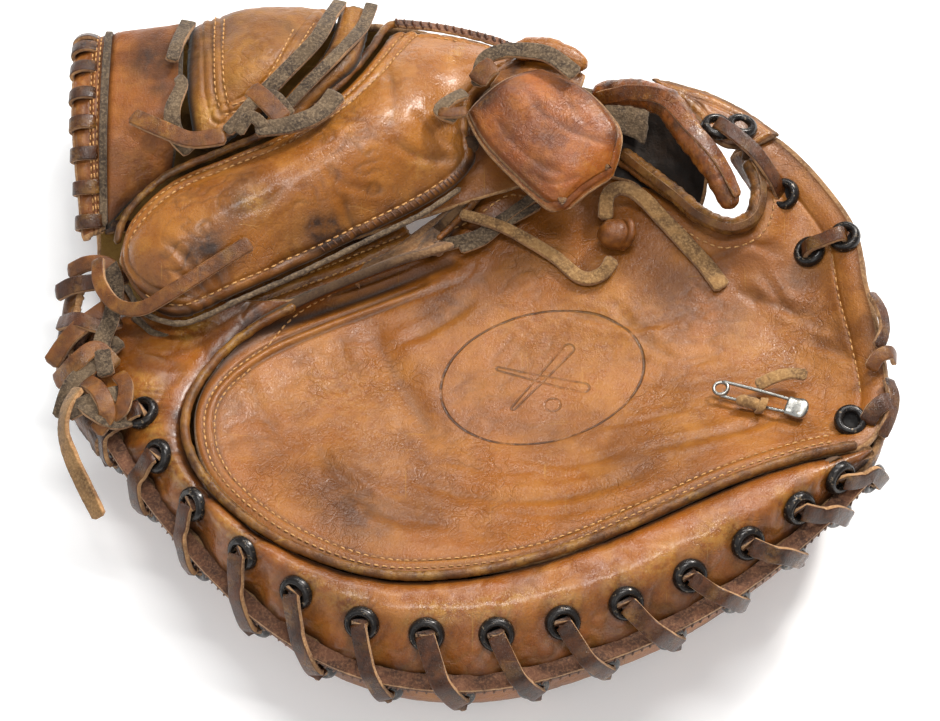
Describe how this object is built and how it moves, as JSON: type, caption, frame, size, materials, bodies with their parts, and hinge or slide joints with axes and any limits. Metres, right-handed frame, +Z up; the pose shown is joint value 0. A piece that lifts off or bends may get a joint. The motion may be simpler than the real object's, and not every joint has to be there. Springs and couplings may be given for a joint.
{
  "type": "baseball catchers mitt",
  "caption": "Padded round catcher's mitt with a laced rim, rolled thumb, small pocket web, wrist strap on the back and a pinned lacing thong.",
  "frame": {"origin": "middle of the resting bounding box, on the surface the mitt lies on", "axes": "+Z up out of the palm, +X from the wrist to the finger tip, +Y from the little-finger edge to the thumb"},
  "size_m": [0.2937, 0.2646, 0.0837],
  "materials": {
    "shell_leather": "oiled tan horsehide, worn smooth with darker patches",
    "web_leather": "dark red-brown, polished by use",
    "trim_leather": "dark rolled edge",
    "lining_leather": "undyed lining hide, matt",
    "felt": "pressed wool felt",
    "smooth_lace": "dark rawhide, smooth side out",
    "suede_lace": "rawhide, rough flesh side out",
    "eyelet_enamel": "black enamel, rubbed through to bright metal",
    "pin_steel": "nickel-plated steel",
    "brass": "dull brass"
  },
  "bodies": {
    "finger_side": {"palm_panel": "shell_leather", "rim_cover": "shell_leather", "palm_piping": "trim_leather", "thumb_crotch_band": "shell_leather", "palm_pad": "felt", "rim_pad": "felt", "palm_lining": "lining_leather", "finger_back": "shell_leather", "index_gusset": "lining_leather", "finger_dividers": "lining_leather", "edge_welt": "trim_leather", "palm_side_eyelets": "eyelet_enamel", "back_side_eyelets": "eyelet_enamel", "rim_lace": "smooth_lace", "heel_binding": "shell_leather", "heel_lace": "smooth_lace", "heel_lace_tails": "suede_lace", "tip_lace": "smooth_lace", "web_anchor_lace": "smooth_lace", "web_edge_strap": "shell_leather", "web_roll": "web_leather", "web_cord": "web_leather", "palm_tie_lace": "suede_lace", "palm_tie_knot": "web_leather", "crotch_lace": "suede_lace", "pin_thong": "suede_lace", "strap_base": "shell_leather", "wrist_strap": "shell_leather", "strap_keeper": "shell_leather", "strap_rivets": "brass", "buckle_frame": "brass"},
    "thumb_side": {"thumb_panel": "shell_leather", "thumb_piping": "trim_leather", "thumb_pad": "felt", "thumb_edge_strip": "shell_leather", "thumb_gusset": "shell_leather", "wrist_cuff": "shell_leather", "cuff_facing": "shell_leather", "cuff_welt": "trim_leather", "cuff_whip_lace": "smooth_lace", "thumb_back": "shell_leather", "thumb_lining": "lining_leather", "thumb_lace": "suede_lace", "thumb_lace_knot": "suede_lace", "strap_anchor": "shell_leather", "heel_tie_tail": "suede_lace", "thumb_web_tab": "shell_leather"},
    "web": {"web_panel": "web_leather", "web_back_panel": "lining_leather", "web_bow_lace": "suede_lace"},
    "prong": {"buckle_prong": "brass"},
    "safety_pin": {"pin_wire": "pin_steel", "pin_cap": "pin_steel", "pin_knot": "suede_lace"}
  },
  "joints": [
    {"name": "thumb_fold", "type": "hinge", "parent": "finger_side", "child": "thumb_side", "pos_m": [-0.12615, 0.00505, 0.041], "axis": [0.8942, 0.4478, 0], "range_deg": [-6, 20], "stiffness_Nm_per_rad": 3},
    {"name": "web_fold", "type": "hinge", "parent": "finger_side", "child": "web", "pos_m": [-0.12615, 0.00505, 0.041], "axis": [0.8942, 0.4478, 0], "range_deg": [-3.2, 10.2]},
    {"name": "prong_hinge", "type": "hinge", "parent": "finger_side", "child": "prong", "pos_m": [-0.10115, -0.01015, 0.0056], "axis": [-1, 0, 0], "range_deg": [0, 25]},
    {"name": "pin_flip", "type": "hinge", "parent": "finger_side", "child": "safety_pin", "pos_m": [0.08299, -0.02269, 0.0616], "axis": [0.9194, -0.3529, 0.1736], "range_deg": [0, 100]}
  ],
  "couplings": [
    {"joint": "web_fold", "follows": "thumb_fold", "ratio": 0.5}
  ]
}
